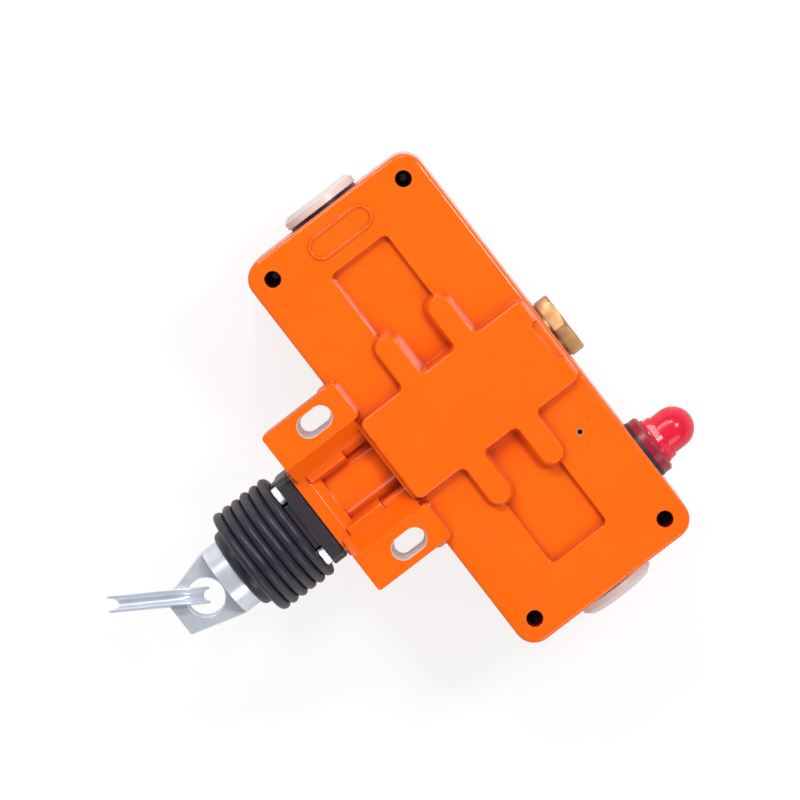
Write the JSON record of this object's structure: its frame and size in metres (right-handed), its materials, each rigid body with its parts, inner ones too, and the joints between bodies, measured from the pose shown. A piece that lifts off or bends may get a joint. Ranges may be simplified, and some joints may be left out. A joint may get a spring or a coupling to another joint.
{
  "type": "rope pull switch",
  "caption": "Safety rope pull switch: die-cast box with slotted mounting ears, sprung towing eye in a rubber bellows, signal lamp, reset knob and plugged cable entries.",
  "frame": {"origin": "centre of the raised mounting face on the housing's back, over the rope's axis", "axes": "+Z out of the mounting face, +X along the rope's axis away from the eye, +Y towards the cable entry beside the embossed rim"},
  "size_m": [0.224, 0.1918, 0.081],
  "materials": {
    "orange_enamel": "gloss",
    "black_rubber": "matte",
    "black_plastic": "satin",
    "zinc_steel": "satin",
    "bright_steel": "polished",
    "spring_steel": "satin",
    "brass": "satin",
    "white_plastic": "satin",
    "grey_plastic": "satin",
    "red_lens": "gloss",
    "dark_red_plastic": "gloss",
    "clear_pane": "gloss",
    "blue_plastic": "satin",
    "black_plunger": "satin"
  },
  "bodies": {
    "housing": {"housing_body": "orange_enamel", "front_cover": "orange_enamel", "cover_seal": "black_rubber", "cover_screws": "zinc_steel", "cable_plug_top": "white_plastic", "cable_plug_bottom": "white_plastic", "plug_seal_top": "black_rubber", "plug_seal_bottom": "black_rubber", "axis_plug": "brass", "axis_plug_washer": "brass", "lamp_gasket": "black_rubber", "lamp_base": "dark_red_plastic", "lamp_bezel": "red_lens", "lamp_lens": "red_lens", "lamp_nut": "black_plastic", "lamp_led": "white_plastic", "flange_gasket": "black_rubber", "bellows_flange": "black_plastic", "guide_bushing": "brass", "flange_screws": "zinc_steel", "bellows": "black_rubber", "spring_seat_front": "zinc_steel", "main_spring": "spring_steel", "contact_block_upper": "grey_plastic", "contact_block_lower": "grey_plastic", "block_screws": "zinc_steel", "terminal_plates": "brass", "terminal_screws": "zinc_steel", "earth_washer": "brass", "earth_screw": "zinc_steel", "reset_bush": "brass", "reset_oring": "black_rubber", "pawl_pin": "bright_steel", "tension_window": "clear_pane"},
    "pull_rod": {"pull_shaft": "bright_steel", "rope_eye": "zinc_steel", "cam_sleeve": "bright_steel", "spring_seat_rear": "zinc_steel", "shaft_nut": "zinc_steel"},
    "thimble": {"rope_thimble": "zinc_steel"},
    "plunger_top": {"plunger_upper": "black_plunger"},
    "plunger_low": {"plunger_lower": "black_plunger"},
    "reset": {"reset_knob": "blue_plastic", "reset_shaft": "bright_steel", "reset_clip": "spring_steel"},
    "latch": {"latch_pawl": "bright_steel"}
  },
  "joints": [
    {"name": "rope_pull", "type": "slide", "parent": "housing", "child": "pull_rod", "axis": [-1, 0, 0], "range_m": [0, 0.016], "stiffness_N_per_m": 9000, "springref_m": -0.012, "deforming": ["bellows", "main_spring"]},
    {"name": "thimble_swing", "type": "hinge", "parent": "pull_rod", "child": "thimble", "pos_m": [-0.1271, 0, -0.03], "axis": [0, 0, 1], "range_deg": [-14, 78]},
    {"name": "plunger_top_slide", "type": "slide", "parent": "housing", "child": "plunger_top", "axis": [0, 1, 0], "range_m": [0, 0.0033]},
    {"name": "plunger_low_slide", "type": "slide", "parent": "housing", "child": "plunger_low", "axis": [0, -1, 0], "range_m": [0, 0.0033]},
    {"name": "reset_turn", "type": "hinge", "parent": "housing", "child": "reset", "pos_m": [0.013, 0, -0.066], "axis": [0, 0, -1], "range_deg": [0, 60], "stiffness_Nm_per_rad": 0.15, "springref_deg": -17.19},
    {"name": "latch_swing", "type": "hinge", "parent": "housing", "child": "latch", "pos_m": [0.0262, 0, -0.046], "axis": [0, -1, 0], "range_deg": [0, 8]}
  ],
  "couplings": [
    {"joint": "plunger_top_slide", "follows": "rope_pull", "ratio": 0.2},
    {"joint": "plunger_low_slide", "follows": "rope_pull", "ratio": 0.2},
    {"joint": "latch_swing", "follows": "reset_turn", "ratio": 0.13333}
  ]
}
